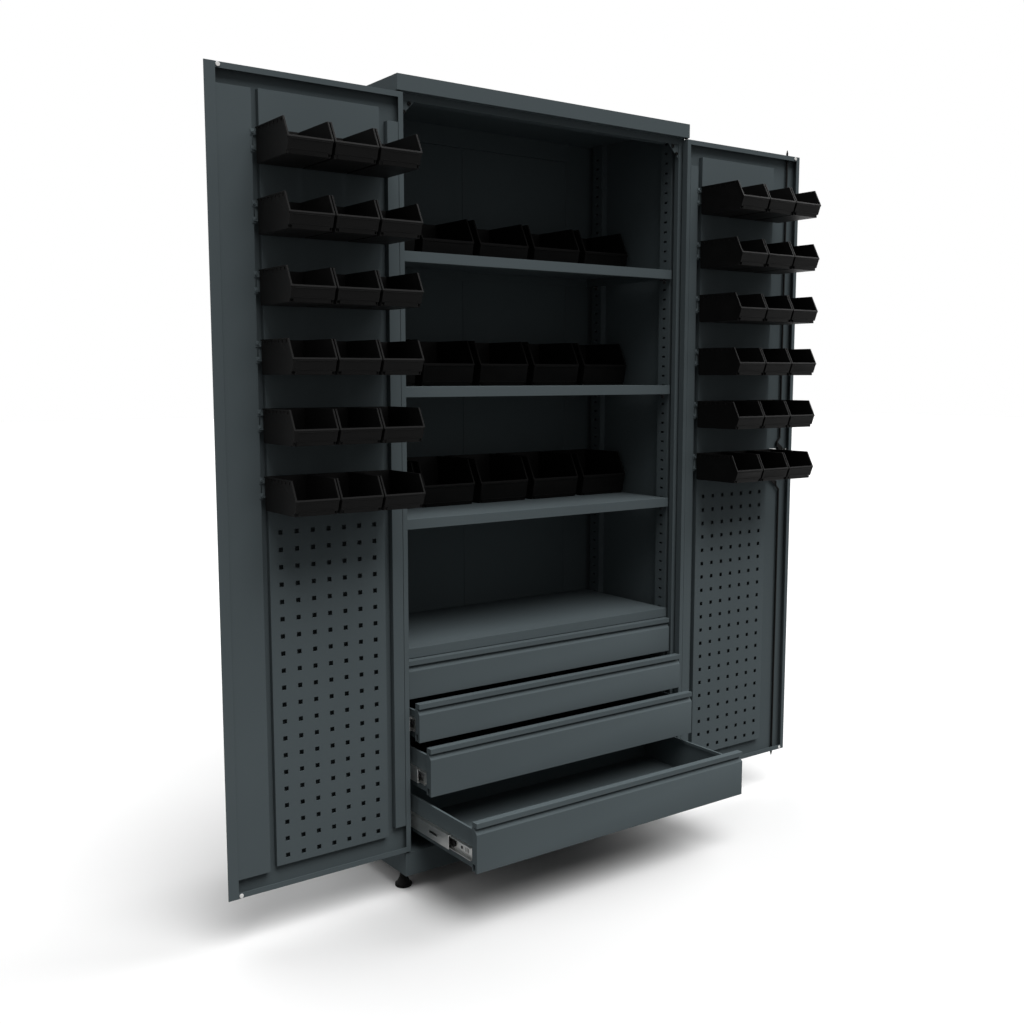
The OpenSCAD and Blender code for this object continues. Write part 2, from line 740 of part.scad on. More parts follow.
module lock_case() {
  case_u = 30;
  case_w = 45;
  color(zinc) on_door(1) translate([lock_u, 0, lock_up]) difference() {
    translate([-case_u, sheet_t, -case_w]) cube([2 * case_u, skin_v - sheet_t, 2 * case_w]);
    translate([-case_u + sheet_t, -cut, -case_w - cut])
      cube([2 * (case_u - sheet_t), skin_v - sheet_t + cut, 2 * (case_w + cut)]);
    translate([0, skin_v - 3, 0]) rotate([-90, 0, 0])
      cylinder(h = 4, r = spindle_r + pivot_clear, $fn = round_fn);
  }
}

module rod_guides() {
  bush_r = rod_r + rod_bush_wall;
  collar_t = 2;
  color(black_plastic) on_door(1) for (end = [0, 1])
    translate([rod_u, rod_v, end * leaf_h]) mirror([0, 0, 1 - end]) difference() {
      union() {
        cylinder(h = collar_t, r1 = bush_r + 2, r2 = bush_r, $fn = round_fn);
        translate([0, 0, -sheet_t]) cylinder(h = sheet_t, r = bush_r, $fn = round_fn);
        translate([0, 0, -sheet_t - collar_t]) cylinder(h = collar_t, r = bush_r + 1, $fn = round_fn);
      }
      translate([0, 0, -sheet_t - collar_t - cut])
        cylinder(h = sheet_t + 2 * collar_t + 2 * cut, r = rod_r + rod_clear, $fn = round_fn);
    }
}

module lock_handle() {
  rose_r = 20;
  rose_t = 6;
  grip_w = 20;
  grip_t = 12;
  color(black_plastic) on_door(1) translate([lock_u, leaf_t + slide_play, lock_up]) {
    rotate([-90, 0, 0]) cylinder(h = rose_t, r = rose_r, $fn = round_fn);
    rotate([90, 0, 0]) cylinder(h = leaf_t + slide_play - cam_v, r = spindle_r, $fn = round_fn);
    translate([0, rose_t, 0]) rotate([-90, 0, 0]) linear_extrude(grip_t) {
      circle(r = grip_w / 2 + 2, $fn = round_fn);
      translate([-grip_w / 2, 0]) square([grip_w, handle_l - grip_w]);
      translate([0, handle_l - grip_w]) circle(r = grip_w / 2, $fn = round_fn);
    }
  }
}

module lock_cam() {
  color(zinc) on_door(1) translate([lock_u, cam_v, lock_up]) rotate([-90, 0, 0]) difference() {
    union() {
      cylinder(h = cam_t, r = cam_r, $fn = round_fn);
      for (a = [-45, 135]) rotate(a) translate([cam_throw, 0, 0])
        cylinder(h = 2 * cam_t + 2 * slide_play, r = cam_pin_r, $fn = round_fn);
    }
    translate([0, 0, -cut]) cylinder(h = cam_t + 2 * cut, r = spindle_r, $fn = round_fn);
  }
}

// A lock rod going up from the lock, its tip end_w above it. The flat end has a cross slot for
// the cam's drive pin, on the side of the spindle that pin_side gives
module lock_rod(end_w, pin_side) {
  pin_w = cam_throw * sin(45);
  travel = 2 * pin_w;
  arm_w = cam_r + travel + 3;
  slot_u = cam_throw * (1 + cos(45)) / 2;
  slot_half = cam_throw * (1 - cos(45)) / 2 + cam_pin_r + slot_play;
  tongue = 3;
  bend_r = rod_r + 0.2;
  straight = end_w - rod_jog_up - rod_jog_l;
  translate([0, rod_v, 0]) {
    translate([rod_jog, 0, rod_jog_up + rod_jog_l]) {
      sphere(r = bend_r, $fn = round_fn);
      cylinder(h = straight - rod_tip, r = rod_r, $fn = round_fn);
      translate([0, 0, straight - rod_tip])
        cylinder(h = rod_tip, r1 = rod_r, r2 = rod_r / 3, $fn = round_fn);
    }
    translate([0, 0, rod_jog_up]) {
      sphere(r = bend_r, $fn = round_fn);
      rotate([0, atan2(rod_jog, rod_jog_l), 0])
        cylinder(h = norm([rod_jog, rod_jog_l]), r = rod_r, $fn = round_fn);
    }
    translate([0, 0, arm_w]) cylinder(h = rod_jog_up - arm_w, r = rod_r, $fn = round_fn);
    translate([0, cam_t / 2, 0]) rotate([90, 0, 0]) linear_extrude(cam_t)
      mirror([pin_side < 0 ? 1 : 0, 0]) difference() {
        polygon([[-rod_r, arm_w], [slot_u - slot_half - tongue, arm_w - tongue],
          [slot_u - slot_half - tongue, pin_w - cam_pin_r - slot_play - tongue],
          [slot_u + slot_half + tongue, pin_w - cam_pin_r - slot_play - tongue],
          [slot_u + slot_half + tongue, arm_w - tongue], [rod_r, arm_w + 4 * tongue],
          [-rod_r, arm_w + 4 * tongue]]);
        translate([slot_u - slot_half, pin_w - cam_pin_r - slot_play])
          square([2 * slot_half, 2 * (cam_pin_r + slot_play)]);
      }
  }
}

module lock_rod_upper() {
  color(steel_paint) on_door(1) translate([lock_u, 0, lock_up]) lock_rod(leaf_h + rod_out - lock_up, 1);
}

module lock_rod_lower() {
  color(steel_paint)
    on_door(1) translate([lock_u, 0, lock_up]) mirror([0, 0, 1]) lock_rod(lock_up + rod_out, -1);
}

// ---- drawers ----

module drawer_place(n) {
  placed() translate([0, drawer_front_in - drawer_out[n], drawer_z(n)]) children();
}

module drawer_front(n) {
  h = drawer_front_h[n];
  w = 2 * drawer_half_w;
  slope_z = h - grip_h - grip_slope;
  outer = [
    [0, 0], [0, slope_z], [-grip_d, h - grip_h], [0, h - grip_h],
    [0, h], [-front_d, h], [-front_d, 0]
  ];
  inner = [[-sheet_t, sheet_t], [-sheet_t, slope_z], [-grip_d - sheet_t, h - grip_h],
    [-grip_d - sheet_t, h - sheet_t], [-front_d - cut, h - sheet_t], [-front_d - cut, sheet_t]];
  color(steel_paint) drawer_place(n) difference() {
    extruded_across(w) polygon(outer);
    extruded_across(w - 2 * sheet_t) polygon(inner);
    both_sides() translate([drawer_half_w - sheet_t - cut, front_d - front_notch_d, -cut])
      cube([sheet_t + 2 * cut, front_notch_d + cut, front_notch_h + cut]);
  }
}

module drawer_box(n) {
  z0 = box_bottom_in;
  side_h = drawer_front_h[n] - box_top_in - z0;
  color(steel_paint) drawer_place(n) translate([0, front_d, z0]) {
    difference() {
      translate([-box_half_w, 0, 0]) cube([2 * box_half_w, box_d, side_h]);
      translate([-box_half_w + sheet_t, sheet_t, sheet_t])
        cube([2 * (box_half_w - sheet_t), box_d - 2 * sheet_t, side_h]);
    }
    both_sides() {
      translate([box_half_w - box_lip_w, 0, side_h - sheet_t]) cube([box_lip_w, box_d, sheet_t]);
      translate([box_half_w - box_lip_w, 0, side_h - box_lip_h]) cube([sheet_t, box_d, box_lip_h]);
    }
    translate([-drawer_half_w, 0, -z0]) cube([2 * drawer_half_w, sheet_t, drawer_front_h[n] - grip_h]);
  }
}

module slide_place(n) {
  both_sides() translate([0, slide_y, drawer_z(n) + slide_up]) children();
}

module slide_channel(web_x, edge_x, h) {
  // a C section whose web lies at web_x and whose flanges reach to edge_x
  d = web_x > edge_x ? -1 : 1;
  section = [[web_x, -h / 2], [edge_x, -h / 2], [edge_x, -h / 2 + slide_t],
    [web_x + d * slide_t, -h / 2 + slide_t], [web_x + d * slide_t, h / 2 - slide_t],
    [edge_x, h / 2 - slide_t], [edge_x, h / 2], [web_x, h / 2]];
  translate([0, slide_l, 0]) rotate([90, 0, 0]) linear_extrude(slide_l) polygon(section);
}

module slide_cabinet_members() {
  color(zinc) placed() for (n = [0:stack_count - 1])
    slide_place(n) slide_channel(upright_x, upright_x - 0.6 * slide_space, slide_outer_h);
}

module middle_members(n) {
  web = upright_x - slide_t - slide_play;
  color(zinc) placed() translate([0, -slide_share * drawer_out[n], 0]) slide_place(n) difference() {
    slide_channel(web, web - 0.55 * slide_space, slide_mid_h);
    for (y = [slide_slot_in:slide_slot_pitch:slide_l - slide_slot_l])
      translate([web - slide_t - cut, y, -slide_slot_h / 2])
        cube([slide_t + 2 * cut, slide_slot_l, slide_slot_h]);
  }
}

module slide_members(n) {
  color(zinc) placed() translate([0, -drawer_out[n], 0])
    slide_place(n) slide_channel(box_half_w, box_half_w + 0.68 * slide_space, slide_inner_h);
}

side_panel(-1);  // side_panel_left
side_panel(1);  // side_panel_right
back_sheets();
roof_sheet();
roof_channel();
top_rail();
corner_gussets();
base_floor();
plinth_channel();
foot_pads();
foot_studs();
hinge_bushes();
slotted_uprights();
shelf(0);  // drawer_deck
shelf(1);  // shelf_lower
shelf(2);  // shelf_middle
shelf(3);  // shelf_upper
shelf_clips();
shelf_bins();
slide_cabinet_members();
leaf(-1);  // door_left_leaf
perforated_panel(-1);  // door_left_perforated_panel
hinge_stiffener(-1);  // door_left_stiffener
edge_channel();  // door_left_edge_channel
meeting_strip();  // door_left_meeting_strip
pivot_pins(-1);  // door_left_pivot_pins
bin_rails(-1);  // door_left_bin_rails
door_bins(-1, [0, 1, 2]);  // door_left_bins_upper
door_bins(-1, [3, 4, 5]);  // door_left_bins_lower
bumpers(-1);  // door_left_bumpers
leaf(1);  // door_right_leaf
perforated_panel(1);  // door_right_perforated_panel
hinge_stiffener(1);  // door_right_stiffener
pivot_pins(1);  // door_right_pivot_pins
bin_rails(1);  // door_right_bin_rails
door_bins(1, [0, 1, 2]);  // door_right_bins_upper
door_bins(1, [3, 4, 5]);  // door_right_bins_lower
bumpers(1);  // door_right_bumpers
lock_case();
rod_guides();
lock_handle();
lock_cam();
lock_rod_upper();
lock_rod_lower();
drawer_front(0);  // drawer_1_front
drawer_box(0);  // drawer_1_box
slide_members(0);  // drawer_1_slide_members
middle_members(0);  // drawer_1_middle_members
drawer_front(1);  // drawer_2_front
drawer_box(1);  // drawer_2_box
slide_members(1);  // drawer_2_slide_members
middle_members(1);  // drawer_2_middle_members
drawer_front(2);  // drawer_3_front
drawer_box(2);  // drawer_3_box
slide_members(2);  // drawer_3_slide_members
middle_members(2);  // drawer_3_middle_members
drawer_front(3);  // drawer_4_front
drawer_box(3);  // drawer_4_box
slide_members(3);  // drawer_4_slide_members
middle_members(3);  // drawer_4_middle_members
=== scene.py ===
import json
import math

import bpy
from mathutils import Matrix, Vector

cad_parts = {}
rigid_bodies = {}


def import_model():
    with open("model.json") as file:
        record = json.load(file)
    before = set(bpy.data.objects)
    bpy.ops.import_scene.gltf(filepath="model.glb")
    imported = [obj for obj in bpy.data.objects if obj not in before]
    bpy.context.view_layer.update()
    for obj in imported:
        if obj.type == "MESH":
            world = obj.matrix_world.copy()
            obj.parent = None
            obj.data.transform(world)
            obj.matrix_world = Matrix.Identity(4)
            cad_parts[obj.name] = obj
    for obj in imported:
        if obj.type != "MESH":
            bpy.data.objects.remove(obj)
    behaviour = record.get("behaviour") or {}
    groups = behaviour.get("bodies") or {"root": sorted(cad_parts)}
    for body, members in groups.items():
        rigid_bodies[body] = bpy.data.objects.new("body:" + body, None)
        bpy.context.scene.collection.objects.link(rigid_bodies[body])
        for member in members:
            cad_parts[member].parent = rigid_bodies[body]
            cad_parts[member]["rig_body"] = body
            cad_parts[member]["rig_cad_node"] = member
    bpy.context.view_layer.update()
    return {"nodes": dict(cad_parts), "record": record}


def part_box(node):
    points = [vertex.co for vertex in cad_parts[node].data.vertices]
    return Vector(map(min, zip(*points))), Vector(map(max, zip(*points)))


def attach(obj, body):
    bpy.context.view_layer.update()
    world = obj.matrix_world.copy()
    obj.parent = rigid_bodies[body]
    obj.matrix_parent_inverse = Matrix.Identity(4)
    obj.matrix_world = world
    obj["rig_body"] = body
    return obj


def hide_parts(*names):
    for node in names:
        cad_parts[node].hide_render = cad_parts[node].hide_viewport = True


view = {
    "place": (-1.76905, -2.3482, 1.2319),
    "tilt": -6.738,  # degrees from level
    "turn": -35.81,  # degrees from looking along +Y
    "lens": 40.393,
    "sensor": 36.0,
    "reach": 100,
}


def addCamera():
    bpy.ops.object.camera_add(location=view["place"])
    camera = bpy.context.object
    camera.name = "viewCamera"
    camera.rotation_euler = (math.radians(90 + view["tilt"]), 0, math.radians(view["turn"]))
    camera.data.lens = view["lens"]
    camera.data.sensor_width = view["sensor"]
    camera.data.clip_end = view["reach"]
    bpy.context.scene.camera = camera


addCamera()
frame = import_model()
bpy.ops.object.select_all(action="DESELECT")
print("frame loaded:", len(frame["nodes"]), "nodes")


class Wire:  # a socket that can stand in a sum
    def __init__(self, nodes, socket):
        self.nodes = nodes
        self.socket = socket

    def join(self, operation, first, second):
        return self.nodes.add("ShaderNodeMath", {"operation": operation}, {0: first, 1: second})

    def __add__(self, other):
        return self.join("ADD", self, other)

    def __radd__(self, other):
        return self.join("ADD", other, self)

    def __sub__(self, other):
        return self.join("SUBTRACT", self, other)

    def __rsub__(self, other):
        return self.join("SUBTRACT", other, self)

    def __mul__(self, other):
        return self.join("MULTIPLY", self, other)

    def __rmul__(self, other):
        return self.join("MULTIPLY", other, self)


class Nodes:  # the node tree of a material or of the world
    def __init__(self, tree):
        self.tree = tree
        tree.nodes.clear()

    def feed(self, socket, value):
        if isinstance(value, Wire):
            self.tree.links.new(value.socket, socket)
        else:
            socket.default_value = value

    def add(self, kind, settings, sockets, out=0):
        node = self.tree.nodes.new(kind)
        for key, value in settings.items():
            setattr(node, key, value)
        for key, value in sockets.items():
            self.feed(node.inputs[key], value)
        if node.outputs:
            return Wire(self, node.outputs[out])

    def between(self, share, low, high):
        return self.add("ShaderNodeMix", {"data_type": "RGBA"},
                        {0: share, 6: (*low, 1), 7: (*high, 1)}, 2)


class Finish(Nodes):  # a material with one shader
    socketNames = {"colour": "Base Color", "roughness": "Roughness", "metallic": "Metallic",
                   "specular": "Specular IOR Level", "normal": "Normal"}

    def __init__(self, name):
        self.material = bpy.data.materials.new(name)
        self.material.use_nodes = True
        super().__init__(self.material.node_tree)
        self.shader = self.tree.nodes.new("ShaderNodeBsdfPrincipled")
        surface = Wire(self, self.shader.outputs[0])
        self.add("ShaderNodeOutputMaterial", {}, {"Surface": surface})
        self.place = self.add("ShaderNodeTexCoord", {}, {}, "Object")

    def noise(self, scale, detail=2.0, roughness=0.5, stretch=None):
        place = self.place
        if stretch:
            place = self.add("ShaderNodeMapping", {}, {"Vector": place, "Scale": stretch})
        return self.add("ShaderNodeTexNoise", {},
                        {"Vector": place, "Scale": scale, "Detail": detail, "Roughness": roughness})

    def bump(self, height, strength, distance):
        return self.add("ShaderNodeBump", {},
                        {"Height": height, "Strength": strength, "Distance": distance})

    def shade(self, **values):
        for key, value in values.items():
            self.feed(self.shader.inputs[self.socketNames[key]], value)
        return self.material


# in each look, patterns are per metre and depths in metres
powderLook = {
    "light": (0.098, 0.120, 0.128),
    "dark": (0.086, 0.106, 0.114),
    "roughness": 0.55,
    "specular": 0.02,
    "cloud": 5.0,
    "cloudShare": 0.8,
    "cloudRough": 0.12,
    "grain": 1300.0,
    "grainRough": 0.10,
    "peel": 325.0,
    "peelShare": 0.4,
    "bump": 0.35,
    "depth": 0.00012,
}


def powderCoat():
    look = powderLook
    finish = Finish("powderCoat")
    cloud = finish.noise(look["cloud"], 4.0)
    grain = finish.noise(look["grain"], 2.0, 0.6)
    peel = finish.noise(look["peel"], 1.0)
    share = cloud * look["cloudShare"] + grain * (1 - look["cloudShare"])
    height = grain * (1 - look["peelShare"]) + peel * look["peelShare"]
    roughness = look["roughness"] + (cloud - 0.5) * look["cloudRough"] + (grain - 0.5) * look["grainRough"]
    return finish.shade(
        colour=finish.between(share, look["dark"], look["light"]),
        roughness=roughness,
        specular=look["specular"],
        normal=finish.bump(height, look["bump"], look["depth"]),
    )


platedLook = {
    "brightZinc": {"light": (0.62, 0.62, 0.60), "dark": (0.40, 0.41, 0.41), "roughness": 0.36},
    "darkSteelAndSlotShade": {"light": (0.070, 0.070, 0.072), "dark": (0.045, 0.045, 0.047), "roughness": 0.5},
    "cloud": 40.0,
    "streak": 300.0,
    "stretch": (1.0, 0.04, 1.0),
    "streakShare": 0.4,
    "streakRough": 0.25,
    "bump": 0.2,
    "depth": 0.00005,
}


def platedSteel(name):
    look = platedLook
    tone = look[name]
    finish = Finish(name)
    cloud = finish.noise(look["cloud"], 5.0, 0.6)
    streak = finish.noise(look["streak"], 3.0, 0.6, look["stretch"])
    share = cloud * (1 - look["streakShare"]) + streak * look["streakShare"]
    return finish.shade(
        colour=finish.between(share, tone["dark"], tone["light"]),
        metallic=1.0,
        roughness=tone["roughness"] + (streak - 0.5) * look["streakRough"],
        normal=finish.bump(streak, look["bump"], look["depth"]),
    )


blackLook = {
    "light": (0.0060, 0.0060, 0.0060),
    "dark": (0.0040, 0.0040, 0.0040),
    "roughness": 0.5,
    "specular": 0.06,
    "cloud": 30.0,
    "cloudRough": 0.15,
    "grain": 2600.0,
    "bump": 0.25,
    "depth": 0.00006,
}


def blackPlastic():
    look = blackLook
    finish = Finish("blackPlastic")
    cloud = finish.noise(look["cloud"], 3.0)
    grain = finish.noise(look["grain"], 1.0)
    return finish.shade(
        colour=finish.between(cloud, look["dark"], look["light"]),
        roughness=look["roughness"] + (cloud - 0.5) * look["cloudRough"],
        specular=look["specular"],
        normal=finish.bump(grain, look["bump"], look["depth"]),
    )


whiteLook = {
    "light": (0.88, 0.88, 0.86),
    "dark": (0.80, 0.80, 0.78),
    "roughness": 0.35,
    "cloud": 200.0,
    "cloudRough": 0.1,
}


def whitePlastic():
    look = whiteLook
    finish = Finish("whitePlastic")
    cloud = finish.noise(look["cloud"])
    return finish.shade(
        colour=finish.between(cloud, look["dark"], look["light"]),
        roughness=look["roughness"] + (cloud - 0.5) * look["cloudRough"],
    )


finishes = {
    "painted_steel": powderCoat(),
    "zinc_steel": platedSteel("brightZinc"),
    "black_plastic": blackPlastic(),
    "white_plastic": whitePlastic(),
}
# dark steel for the pins, clips, studs and slide rivets; it also colours the painted shade of the key slot
darkSteelAndSlotShade = platedSteel("darkSteelAndSlotShade")
print("finishes made:", len(finishes) + 1)

slotOf = {part["node"]: part["material_slot"] for part in frame["record"]["subparts"]}
otherFinish = {  # these look darker in the photograph than their slot's finish
    "lock_rod_upper": finishes["black_plastic"],
    "lock_rod_lower": finishes["black_plastic"],
    "hinge_bushes": finishes["black_plastic"],
    "door_left_pivot_pins": darkSteelAndSlotShade,
    "door_right_pivot_pins": darkSteelAndSlotShade,
    "shelf_clips": darkSteelAndSlotShade,
    "foot_studs": darkSteelAndSlotShade,
}
edgeLook = {
    "painted_steel": 0.0005,
    "zinc_steel": 0.0003,
    "black_plastic": 0.0005,
    "white_plastic": 0.0005,
    "turn": math.radians(32),  # an edge that turns by more is rounded
    "flat": math.radians(0.5),  # faces that turn by less become one
    "merge": 0.00001,
}


def roundEdges(piece, width, segments=2, harden=False):
    bevel = piece.modifiers.new("round", "BEVEL")
    bevel.width = width
    bevel.segments = segments
    bevel.limit_method = "ANGLE"
    bevel.angle_limit = edgeLook["turn"]
    bevel.harden_normals = harden
    bpy.ops.object.modifier_apply(modifier=bevel.name)


def dressNode(name):
    source = frame["nodes"][name]
    slot = slotOf[name]
    piece = source.copy()
    piece.data = source.data.copy()
    piece.name = name + "_finished"
    piece.parent = None
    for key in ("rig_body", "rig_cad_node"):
        if key in piece:
            del piece[key]
    bpy.context.collection.objects.link(piece)
    bpy.ops.object.select_all(action="DESELECT")
    piece.select_set(True)
    bpy.context.view_layer.objects.active = piece
    bpy.ops.object.mode_set(mode="EDIT")
    bpy.ops.mesh.select_all(action="SELECT")
    bpy.ops.mesh.remove_doubles(threshold=edgeLook["merge"])
    bpy.ops.mesh.dissolve_limited(angle_limit=edgeLook["flat"])
    bpy.ops.object.mode_set(mode="OBJECT")
    bpy.ops.object.shade_smooth_by_angle(angle=edgeLook["turn"])
    roundEdges(piece, edgeLook[slot], harden=True)
    piece.data.materials.clear()
    piece.data.materials.append(otherFinish.get(name, finishes[slot]))
    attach(piece, source["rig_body"])
    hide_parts(name)


for name in sorted(frame["nodes"]):
    dressNode(name)
print("nodes dressed")

# where the top of a small fitting points
facing = {
    "front": (math.radians(90), 0, 0),
    "back": (math.radians(-90), 0, 0),
    "left": (0, math.radians(-90), 0),
    "right": (0, math.radians(90), 0),
}
bothSides = ((-1, facing["left"]), (1, facing["right"]))


def selectFaces(piece, wanted):
    bpy.ops.object.mode_set(mode="EDIT")
    bpy.ops.mesh.select_mode(type="FACE")
    bpy.ops.mesh.select_all(action="DESELECT")
    bpy.ops.object.mode_set(mode="OBJECT")
    for face in piece.data.polygons:
        face.select = wanted(face)
    bpy.ops.object.mode_set(mode="EDIT")


def cylinder(sides, radius, depth, middle=0.0):
    bpy.ops.object.select_all(action="DESELECT")
    bpy.ops.mesh.primitive_cylinder_add(vertices=sides, radius=radius, depth=depth,
                                        location=(0, 0, middle))
    bpy.ops.object.transform_apply(location=True, rotation=False, scale=False)
    return bpy.context.object


def block(size, corner):
    bpy.ops.object.select_all(action="DESELECT")
    bpy.ops.mesh.primitive_cube_add(size=1, location=(0, 0, 0))
    piece = bpy.context.object
    piece.scale = size
    bpy.ops.object.transform_apply(location=False, rotation=False, scale=True)
    roundEdges(piece, corner, 3)
    return piece


headShape = {  # shares of the radius, and for rise and sink of the height
    "slope": 0.30,
    "rise": 0.30,
    "rim": 0.28,
    "sink": 0.60,
    "corner": 0.05,
}


def screwHead(radius, height, sides=24):
    shape = headShape
    piece = cylinder(sides, radius, height, height / 2)
    selectFaces(piece, lambda face: face.normal.z > 0.9)
    bpy.ops.mesh.inset(thickness=radius * shape["slope"])
    bpy.ops.transform.translate(value=(0, 0, height * shape["rise"]))
    bpy.ops.mesh.inset(thickness=radius * shape["rim"])
    bpy.ops.mesh.extrude_region_move(TRANSFORM_OT_translate={"value": (0, 0, -height * shape["sink"])})
    bpy.ops.object.mode_set(mode="OBJECT")
    roundEdges(piece, radius * shape["corner"])
    return piece


plugShape = {
    "sides": 32,
    "thin": 0.5,  # of the depth, at the hollow in the middle
    "corner": 0.08,  # of the radius
}


def ringPlug(radius, depth, hole):
    piece = cylinder(plugShape["sides"], radius, depth)
    selectFaces(piece, lambda face: abs(face.normal.z) > 0.9)
    bpy.ops.mesh.inset(thickness=radius - hole, use_individual=True)
    bpy.ops.transform.resize(value=(1, 1, plugShape["thin"]))
    bpy.ops.object.mode_set(mode="OBJECT")
    roundEdges(piece, radius * plugShape["corner"])
    return piece


def copyTo(master, place, turn=(0, 0, 0)):
    piece = master.copy()
    piece.data = master.data.copy()
    bpy.context.collection.objects.link(piece)
    piece.location = place
    piece.rotation_euler = turn
    return piece


smoothUnder = math.radians(35)


def gather(copies, masters, name, body, slot, finish=None):
    bpy.ops.object.select_all(action="DESELECT")
    for piece in copies:
        piece.select_set(True)
    bpy.context.view_layer.objects.active = copies[0]
    bpy.ops.object.join()
    piece = bpy.context.object
    bpy.ops.object.transform_apply(location=True, rotation=True, scale=True)
    bpy.context.scene.cursor.location = (0, 0, 0)
    bpy.ops.object.origin_set(type="ORIGIN_CURSOR")
    bpy.ops.object.shade_smooth_by_angle(angle=smoothUnder)
    for master in masters:
        bpy.data.objects.remove(master)
    piece.name = name
    piece.data.materials.clear()
    piece.data.materials.append(finish or finishes[slot])
    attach(piece, body)


railTab = {
    "size": (0.0084, 0.0016, 0.013),
    "corner": 0.0006,
    "out": 0.0009,
    "over": 0.0025,
    "rows": 6,
    "rowPitch": 0.1427,
    "up": (0.0025, 0.0355),
    "screw": 0.0030,
    "screwHead": 0.0016,
    "screwOut": 0.0008,
}


def addRailTabs(side):
    look = railTab
    low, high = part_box("door_" + side + "_bin_rails")
    tab = block(look["size"], look["corner"])
    screw = screwHead(look["screw"], look["screwHead"])
    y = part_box("door_" + side + "_stiffener")[0][1] - look["out"]
    ends = [low[0] - look["over"]]
    if side == "left":
        ends.append(high[0] + look["over"])
    copies = []
    for x in ends:
        for row in range(look["rows"]):
            for up in look["up"]:
                z = low[2] + row * look["rowPitch"] + up
                copies.append(copyTo(tab, (x, y, z)))
                copies.append(copyTo(screw, (x, y - look["screwOut"], z), facing["front"]))
    gather(copies, (tab, screw), "door_" + side + "_rail_tabs", "door_" + side, "painted_steel")


slideLook = {
    "plug": 0.0085,
    "plugDepth": 0.0036,
    "plugHole": 0.0045,
    "stopOut": 0.0024,
    "stopIn": 0.0038,
    "leverIn": 0.0083,
    "leverAt": 0.0765,
    "tongue": (0.0026, 0.016, 0.008),
    "tongueCorner": 0.0012,
    "tongueAt": 0.012,  # behind its plug
    "pip": (0.0014, 0.0018, 0.010),
    "pipCorner": 0.0004,
    "pips": 3,
    "pipsFrom": 0.018,
    "pipPitch": 0.0055,
    "rivet": 0.0036,
    "rivetHead": 0.0012,
    "rivetsAt": (0.045, 0.150, 0.290),
    "rivetSunk": 0.0002,
    "webIn": 0.0078,  # the inner member's web
}


def addSlideFittings(number):
    look = slideLook
    drawer = "drawer_%d" % number
    low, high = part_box(drawer + "_middle_members")
    middle = (low[0] + high[0]) / 2
    half = (high[0] - low[0]) / 2
    z = (low[2] + high[2]) / 2
    stopY = low[1] + look["plug"] - look["stopOut"]
    memberLow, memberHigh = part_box(drawer + "_slide_members")
    leverY = memberLow[1] + look["leverAt"]
    plug = ringPlug(look["plug"], look["plugDepth"], look["plugHole"])
    tongue = block(look["tongue"], look["tongueCorner"])
    stops, levers = [], []
    for side, turn in bothSides:
        stopX = middle + side * (half - look["stopIn"])
        leverX = middle + side * (half - look["leverIn"])
        stops.append(copyTo(plug, (stopX, stopY, z), turn))
        levers.append(copyTo(plug, (leverX, leverY, z), turn))
        levers.append(copyTo(tongue, (leverX, leverY + look["tongueAt"], z)))
    gather(stops, (), drawer + "_slide_stops", drawer + "_middle_members", "black_plastic")
    gather(levers, (plug, tongue), drawer + "_slide_levers", drawer, "black_plastic")
    webHalf = (memberHigh[0] - memberLow[0]) / 2 - look["webIn"]
    pip = block(look["pip"], look["pipCorner"])
    rivet = screwHead(look["rivet"], look["rivetHead"])
    copies = []
    for side, turn in bothSides:
        webX = middle + side * webHalf
        for step in range(look["pips"]):
            pipY = memberLow[1] + look["pipsFrom"] + step * look["pipPitch"]
            copies.append(copyTo(pip, (webX, pipY, z)))
        for y in look["rivetsAt"]:
            place = (webX - side * look["rivetSunk"], memberLow[1] + y, z)
            copies.append(copyTo(rivet, place, turn))
    gather(copies, (pip, rivet), drawer + "_slide_rivets", drawer, "zinc_steel", darkSteelAndSlotShade)


footNut = {
    "sides": 6,
    "radius": 0.0145,  # to the corners
    "height": 0.009,
    "collarIn": 0.0022,
    "collarDown": 0.0012,
    "corner": 0.0004,
    "sleeve": 0.0095,
    "sleeveTop": 0.0075,
    "sleeveSides": 32,
    "sleeveCorner": 0.0006,
    "pad": 0.0205,  # the foot pad's own radius
}


def addFootNuts():
    look = footNut
    low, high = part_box("foot_pads")
    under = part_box("base_floor")[0][2]
    nut = cylinder(look["sides"], look["radius"], look["height"], -look["height"] / 2)
    selectFaces(nut, lambda face: face.normal.z < -0.9)
    bpy.ops.mesh.inset(thickness=look["collarIn"])
    bpy.ops.transform.translate(value=(0, 0, -look["collarDown"]))
    bpy.ops.object.mode_set(mode="OBJECT")
    roundEdges(nut, look["corner"])
    sleeveHeight = under - high[2]
    bpy.ops.object.select_all(action="DESELECT")
    bpy.ops.mesh.primitive_cone_add(vertices=look["sleeveSides"], radius1=look["sleeve"],
                                    radius2=look["sleeveTop"], depth=sleeveHeight,
                                    location=(0, 0, -sleeveHeight / 2))
    sleeve = bpy.context.object
    bpy.ops.object.transform_apply(location=True, rotation=False, scale=False)
    roundEdges(sleeve, look["sleeveCorner"])
    copies = []
    for x in (low[0] + look["pad"], high[0] - look["pad"]):
        for y in (low[1] + look["pad"], high[1] - look["pad"]):
            copies.append(copyTo(nut, (x, y, under)))
            copies.append(copyTo(sleeve, (x, y, under)))
    gather(copies, (nut, sleeve), "foot_nuts", "cabinet", "black_plastic")


gussetBolt = {
    "sides": 6,
    "radius": 0.0048,
    "head": 0.0030,
    "at": ((0.008, 0.012), (0.022, 0.031)),  # in from the side, up from the lower end
}


def addGussetBolts():
    look = gussetBolt
    low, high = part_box("corner_gussets")
    head = screwHead(look["radius"], look["head"], look["sides"])
    copies = []
    for x, into in ((low[0], 1), (high[0], -1)):
        for across, up in look["at"]:
            place = (x + into * across, low[1], low[2] + up)
            copies.append(copyTo(head, place, facing["front"]))
    gather(copies, (head,), "gusset_bolts", "cabinet", "black_plastic")


